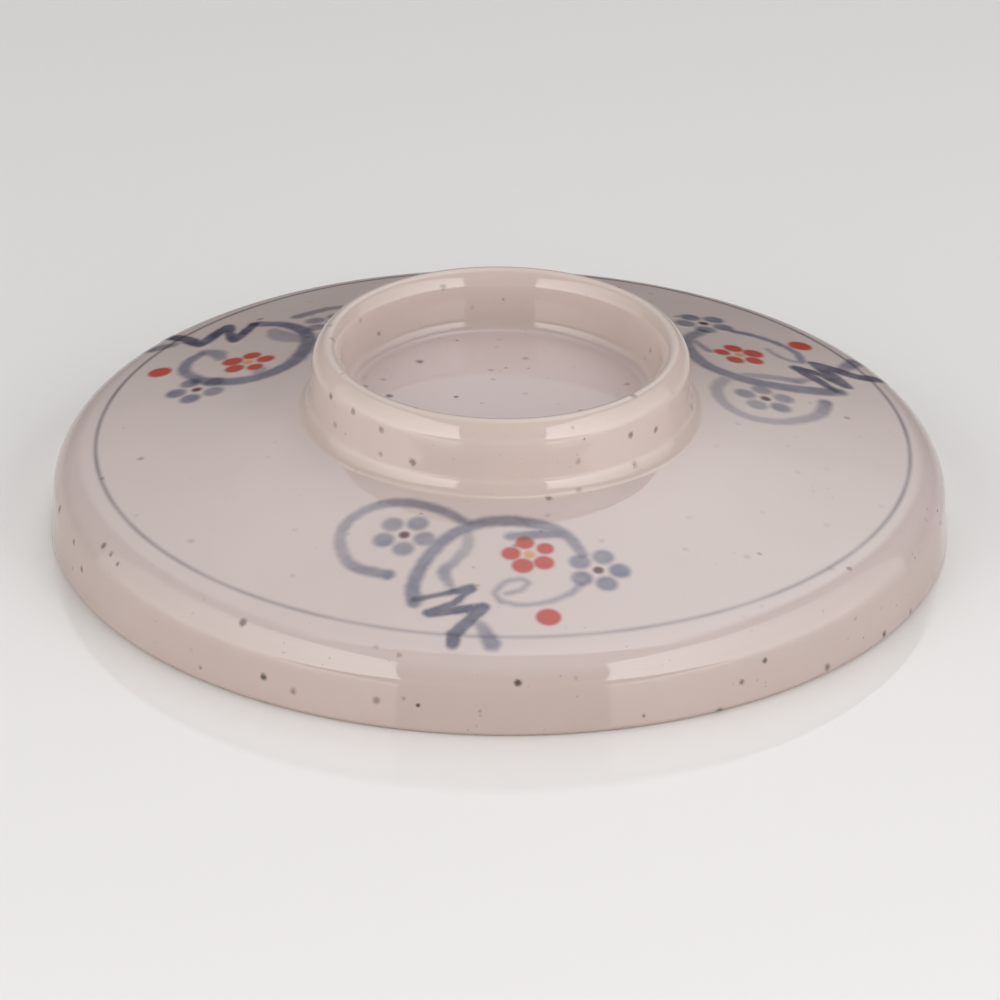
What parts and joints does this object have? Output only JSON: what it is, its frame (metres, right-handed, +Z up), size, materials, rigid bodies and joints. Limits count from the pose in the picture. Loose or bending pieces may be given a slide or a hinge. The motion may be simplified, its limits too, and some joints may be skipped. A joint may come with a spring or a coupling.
{
  "type": "bowl lid",
  "caption": "Round glazed ceramic bowl lid with a ring grip on a low dome, a speckled cream glaze and painted plum blossom sprays on scrolling vines.",
  "frame": {"origin": "centre of the circle that the rim stands on, at the lid's lowest point", "axes": "+Z up along the lid's axis, through the ring grip; -Y towards the front spray"},
  "size_m": [0.16, 0.16, 0.0356],
  "materials": {
    "bare_clay": "matte unglazed clay",
    "cream_glaze": "glossy cream glaze with small brown iron specks",
    "vine_wash": "thin grey-blue brushed colour, glossy",
    "twig_blue": "dark slate-blue brushed colour, glossy",
    "petal_blue": "pale grey-blue dabbed colour, glossy",
    "coral_enamel": "coral red dabbed colour, glossy",
    "yellow_enamel": "faint yellow dabbed colour, glossy",
    "brown_enamel": "dark brown dabbed colour, glossy"
  },
  "bodies": {
    "root": {"clay_body": "bare_clay", "outer_glaze": "cream_glaze", "inner_glaze": "cream_glaze", "painted_line": "vine_wash", "front_vine": "vine_wash", "front_twig": "twig_blue", "front_coral_petals": "coral_enamel", "front_yellow_heart": "yellow_enamel", "front_blue_petals": "petal_blue", "front_brown_hearts": "brown_enamel", "front_berry": "coral_enamel", "right_vine": "vine_wash", "right_twig": "twig_blue", "right_coral_petals": "coral_enamel", "right_yellow_heart": "yellow_enamel", "right_blue_petals": "petal_blue", "right_brown_hearts": "brown_enamel", "right_berry": "coral_enamel", "left_vine": "vine_wash", "left_twig": "twig_blue", "left_coral_petals": "coral_enamel", "left_yellow_heart": "yellow_enamel", "left_blue_petals": "petal_blue", "left_brown_hearts": "brown_enamel", "left_berry": "coral_enamel"}
  },
  "joints": []
}
